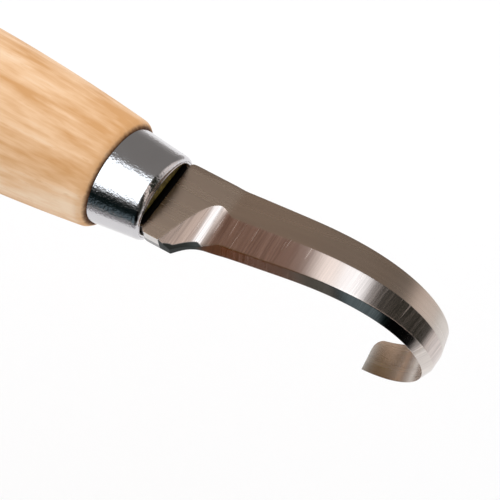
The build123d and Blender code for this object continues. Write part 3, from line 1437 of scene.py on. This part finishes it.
@dataclass
class TangBedding:
    """Cured adhesive: the fill of the slot and the bead at the neck's root; the bead's black
    is partly painted shade of the gap between the neck and the wood.
    """

    mouth_at: float
    wood_face: float
    half_width: float = 6.35
    half_thickness: float = 1.35
    bead_height: float = 0.42
    bead_front: float = 0.40
    slot_front: tuple[float, float] = (5.7, 2.1)
    slot_rear: tuple[float, float] = (4.6, 2.1)
    slot_length: float = 78.0
    creep: float = 0.14
    creep_back: float = 0.05
    lump: float = 0.05
    squareness: float = 9.0
    points_round: int = 420

    def profile(self) -> tuple[np.ndarray, np.ndarray, np.ndarray]:
        """The rounded box from the slot's end to the bead's front.

        Over the bead an angle goes through half a turn: X follows its cosine,
        and the sides swell as its sine to the power 0.7.

        Returns:
            Place along X, half width and half depth.
        """
        rear = self.wood_face - self.slot_length
        bead_length = self.mouth_at + self.bead_front - self.wood_face
        bead = np.linspace(0.0, pi, 12)
        swell = np.sin(bead) ** 0.7
        x = np.concatenate([
            [rear, rear, rear + 1.0, self.wood_face - 34.0, self.wood_face - 0.1],
            self.wood_face + bead_length * (1 - np.cos(bead)) / 2,
        ])
        inner = self.half_thickness - 0.25
        rear_width, rear_depth = self.slot_rear
        front_width, front_depth = self.slot_front
        width = np.concatenate([
            [0.3, rear_width - 1.0, rear_width, front_width, front_width],
            self.half_width - 0.25 * (1 - swell),
        ])
        depth = np.concatenate([
            [0.1, rear_depth - 0.6, rear_depth, front_depth, inner],
            inner + (0.25 + self.bead_height) * swell,
        ])
        return x, width, depth

    def build(self) -> bpy.types.Object:
        """Carries a rounded box along X and roughens the bead.

        The box is |y/w|^n + |z/d|^n = 1, with n its squareness, taken by
        angle. The bead's front creeps forward and back along the neck.

        Returns:
            The bedding.
        """
        x, width, depth = self.profile()
        turn = np.linspace(0.0, 2 * pi, self.points_round, endpoint=False)
        power = 2 / self.squareness
        side = np.sign(np.cos(turn)) * np.abs(np.cos(turn)) ** power
        rise = np.sign(np.sin(turn)) * np.abs(np.sin(turn)) ** power
        in_bead = smooth_step(x, self.wood_face - 0.05, self.wood_face + 0.5)[:, None]
        spread = np.interp(side * 0.97, [-1.0, 1.0], [0.0, 12.0])
        creep = self.creep * rippled(spread, 11, 6, 1.4)[None, :] - self.creep_back
        lump = self.lump * rippled(spread * 1.3, 12, 8, 1.9)[None, :]
        front = smooth_step(x, self.mouth_at - 0.2, self.mouth_at + self.bead_front)[:, None]
        rings = np.stack([
            x[:, None] + creep * front,
            width[:, None] * side[None, :],
            depth[:, None] * rise[None, :] + np.sign(rise)[None, :] * lump * in_bead,
        ], 2)
        # The black resin also stands for painted shade in the gap at the neck's root.
        finishes = [ResinAndGapShade("black_resin_and_gap_shade", "bedding_adhesive")]
        piece = Skin("tang_bedding_resin_and_shade", rings, finishes).build()
        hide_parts("tang_bedding")
        return piece


# Studio


@dataclass(frozen=True)
class SkyPatch:
    """A soft-edged patch of light or shade, bounded by direction.

    Args:
        colour: Its radiance.
        x: Least and greatest X of the directions that it fills.
        y: The same for Y.
        z: The same for Z.
        soft: Half width of its edges, in the same measure.
    """

    colour: Colour
    x: tuple[float, float] = (-OPEN, OPEN)
    y: tuple[float, float] = (-OPEN, OPEN)
    z: tuple[float, float] = (-OPEN, OPEN)
    soft: float = 0.06

    def share(self, direction: tuple[Wire, Wire, Wire]) -> object:
        """How much of the patch each direction sees, 0 to 1.

        Args:
            direction: The three parts of a unit direction.

        Returns:
            The product of a smooth step for each bound.
        """
        share: object = 1.0
        for part, (low, high) in zip(direction, (self.x, self.y, self.z)):
            if low > -1.0:
                share = part.ramp(low - self.soft, low + self.soft) * share
            if high < 1.0:
                share = part.ramp(high + self.soft, high - self.soft) * share
        return share


# Each patch is laid over those before it: the floor's bounce, the rear and
# front walls, the dark gap and the bright panels above, then the low side.
STUDIO_PATCHES = (
    SkyPatch((0.88, 0.85, 0.84), z=(-OPEN, -0.35), soft=0.45),
    SkyPatch(
        (0.25, 0.145, 0.105), x=(-OPEN, -0.60), y=(-OPEN, 0.28), z=(-0.05, OPEN), soft=0.09,
    ),
    SkyPatch(
        (0.13, 0.075, 0.02), x=(-OPEN, -0.55), y=(-OPEN, -0.06), z=(-0.05, OPEN), soft=0.06,
    ),
    SkyPatch((0.28, 0.26, 0.24), x=(-OPEN, -0.60), y=(0.28, OPEN), z=(0.0, OPEN), soft=0.09),
    SkyPatch((0.80, 0.70, 0.64), x=(-OPEN, -0.60), z=(-OPEN, -0.24), soft=0.16),
    SkyPatch((0.87, 0.80, 0.76), x=(0.58, OPEN), y=(0.48, OPEN), soft=0.13),
    SkyPatch((0.80, 0.78, 0.76), x=(0.45, OPEN), z=(-OPEN, -0.18), soft=0.08),
    SkyPatch((0.010, 0.012, 0.006), x=(0.17, OPEN), y=(0.07, 0.38), z=(-0.12, OPEN)),
    SkyPatch((0.03, 0.03, 0.025), x=(0.1, OPEN), y=(-0.62, -0.16), z=(0.1, OPEN)),
    SkyPatch((1.0, 0.86, 0.77), x=(0.0, OPEN), y=(-0.18, 0.01), z=(0.25, OPEN)),
    SkyPatch((1.95, 2.1, 2.2), x=(-0.40, -0.02), y=(-0.62, 0.22), z=(0.3, OPEN)),
    SkyPatch((1.75, 1.68, 1.62), x=(-0.60, -0.40), y=(0.0, 0.22), z=(0.3, OPEN)),
    SkyPatch((0.38, 0.37, 0.385), y=(-OPEN, -0.55), z=(-OPEN, -0.17)),
    SkyPatch((0.002, 0.006, 0.006), y=(-OPEN, -0.70), z=(-0.02, OPEN), soft=0.10),
    SkyPatch((0.14, 0.045, 0.014), x=(-OPEN, -0.44), y=(-OPEN, -0.6), z=(-0.5, 0.02)),
    SkyPatch((0.08, 0.08, 0.07), x=(-0.46, -0.34), y=(-OPEN, -0.80), z=(-0.36, 0.02)),
    SkyPatch((0.12, 0.16, 0.18), x=(-0.26, 0.18), y=(-OPEN, -0.88), z=(-0.10, 0.26)),
    SkyPatch((0.0, 0.0, 0.0), x=(0.28, OPEN), y=(-OPEN, -0.62), z=(-0.14, 0.6)),
)


@dataclass
class Studio:
    """Floor, light and camera, in metres.

    Args:
        mouth: The centre of the ferrule's mouth, which the camera is set from.
        lowest: The height of the knife's lowest point.
        floor_below: How far the floor is below that.
        floor_size: Half the floor's side.
        walls: Radiance where no patch is.
        ambient: Even radiance that wood and resin see.
        patches: The patches that metal mirrors.
        panel_from_mouth: Where the soft panel hangs, from the mouth.
        panel_size: Its diameter.
        panel_watts: Its power.
        camera_from_mouth: Where the camera is, from the mouth.
        looking: The direction that it looks in.
        upward: The direction that is up in its view.
        lens: Its focal length, in mm.
        sensor: Its sensor's width, in mm.
    """

    mouth: Vector
    lowest: float
    floor_below: float = 0.15
    floor_size: float = 0.45
    walls: Colour = (0.225, 0.215, 0.205)
    ambient: Colour = (0.80, 0.80, 0.805)
    patches: tuple[SkyPatch, ...] = STUDIO_PATCHES
    panel_from_mouth: tuple[float, float, float] = (-0.15, 0.30, 0.55)
    panel_size: float = 0.35
    panel_watts: float = 1.5
    camera_from_mouth: tuple[float, float, float] = (0.09026, -0.08323, 0.18720)
    looking: tuple[float, float, float] = (-0.33836, 0.37848, -0.86155)
    upward: tuple[float, float, float] = (-0.43532, 0.74874, 0.49989)
    lens: float = 100.86
    sensor: float = 36.0

    def floor(self) -> None:
        """Lays a plain pale board below the knife, a level grid of squares."""
        lines = 9
        side = np.linspace(-self.floor_size, self.floor_size, lines)
        x, y = np.meshgrid(side + self.mouth.x, side, indexing="ij")
        z = np.full_like(x, self.lowest - self.floor_below)
        points = np.stack([x, y, z], 2).reshape(-1, 3)
        numbers = np.arange(lines * lines).reshape(lines, lines)
        corners = [numbers[:-1, :-1], numbers[1:, :-1], numbers[1:, 1:], numbers[:-1, 1:]]
        quads = np.stack(corners, 2).reshape(-1, 4)
        mesh = bpy.data.meshes.new("studio_floor")
        mesh.from_pydata(points, [], quads.tolist())
        mesh.materials.append(PaleBoard("pale_board", "floor").material())
        board = bpy.data.objects.new("studio_floor", mesh)
        bpy.context.scene.collection.objects.link(board)
        board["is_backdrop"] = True

    def sky(self) -> None:
        """Lights the world softly by direction.

        Wood and resin are lit evenly, only metal mirrors the patches, and the
        background is plain white.
        """
        world = bpy.data.worlds.new("studio")
        bpy.context.scene.world = world
        world.use_nodes = True
        board = NodeBoard(world.node_tree)
        place = board.add("ShaderNodeTexCoord", {}, {})
        direction = board.split(place.outputs["Generated"])
        colour: object = self.walls
        for patch in self.patches:
            colour = board.mix(patch.share(direction), colour, patch.colour)
        rays = board.add("ShaderNodeLightPath", {}, {})
        soft = board.mix(rays.outputs["Is Diffuse Ray"], colour, self.ambient)
        seen = board.mix(rays.outputs["Is Camera Ray"], soft, (1.0, 1.0, 1.0))
        background = board.add("ShaderNodeBackground", {}, {"Color": seen, "Strength": 1.0})
        board.add("ShaderNodeOutputWorld", {}, {"Surface": background.outputs[0]})

    def key_light(self) -> None:
        """Adds a soft panel aimed at the mouth that metal doesn't mirror."""
        place = self.mouth + Vector(self.panel_from_mouth)
        light = bpy.data.lights.new("soft_panel", "AREA")
        light.shape = "DISK"
        light.size = self.panel_size
        light.energy = self.panel_watts
        panel = bpy.data.objects.new("soft_panel", light)
        panel.location = place
        panel.rotation_euler = (self.mouth - place).to_track_quat("-Z", "Y").to_euler()
        panel.visible_glossy = False
        bpy.context.scene.collection.objects.link(panel)

    def camera(self) -> None:
        """Sets the camera, its axes made square to the way it looks."""
        data = bpy.data.cameras.new("camera")
        data.lens = self.lens
        data.sensor_width = self.sensor
        data.clip_start = 0.01
        camera = bpy.data.objects.new("camera", data)
        back = -Vector(self.looking).normalized()
        up = (Vector(self.upward) - back * Vector(self.upward).dot(back)).normalized()
        turn = Matrix((up.cross(back), up, back)).transposed()
        place = self.mouth + Vector(self.camera_from_mouth)
        camera.matrix_world = Matrix.Translation(place) @ turn.to_4x4()
        bpy.context.scene.collection.objects.link(camera)
        bpy.context.scene.camera = camera

    def build(self) -> None:
        """Sets the whole studio and a plain view transform."""
        self.floor()
        self.sky()
        self.key_light()
        self.camera()
        settings = bpy.context.scene.view_settings
        settings.view_transform = "Standard"
        settings.look = "None"


def main() -> None:
    """Builds the pieces in order and reports each, then builds the studio."""
    logging.basicConfig(level=logging.INFO, format="%(name)s: %(message)s")
    rear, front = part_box("ferrule")
    shoulder_at, mouth_at = rear.x / MM, front.x / MM
    wood_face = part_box("handle")[1].x / MM
    makers = (
        Handle(shoulder_at, wood_face),
        TangBedding(mouth_at, wood_face),
        Ferrule(shoulder_at, mouth_at),
        Blade(mouth_at),
    )
    for maker in makers:
        piece = maker.build()
        finishes = [material.name for material in piece.data.materials]
        log.info("%s: %d faces, %s", piece.name, len(piece.data.polygons), finishes)
    Studio(Vector((front.x, 0.0, 0.0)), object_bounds()[0].z).build()


if __name__ == "__main__":
    main()
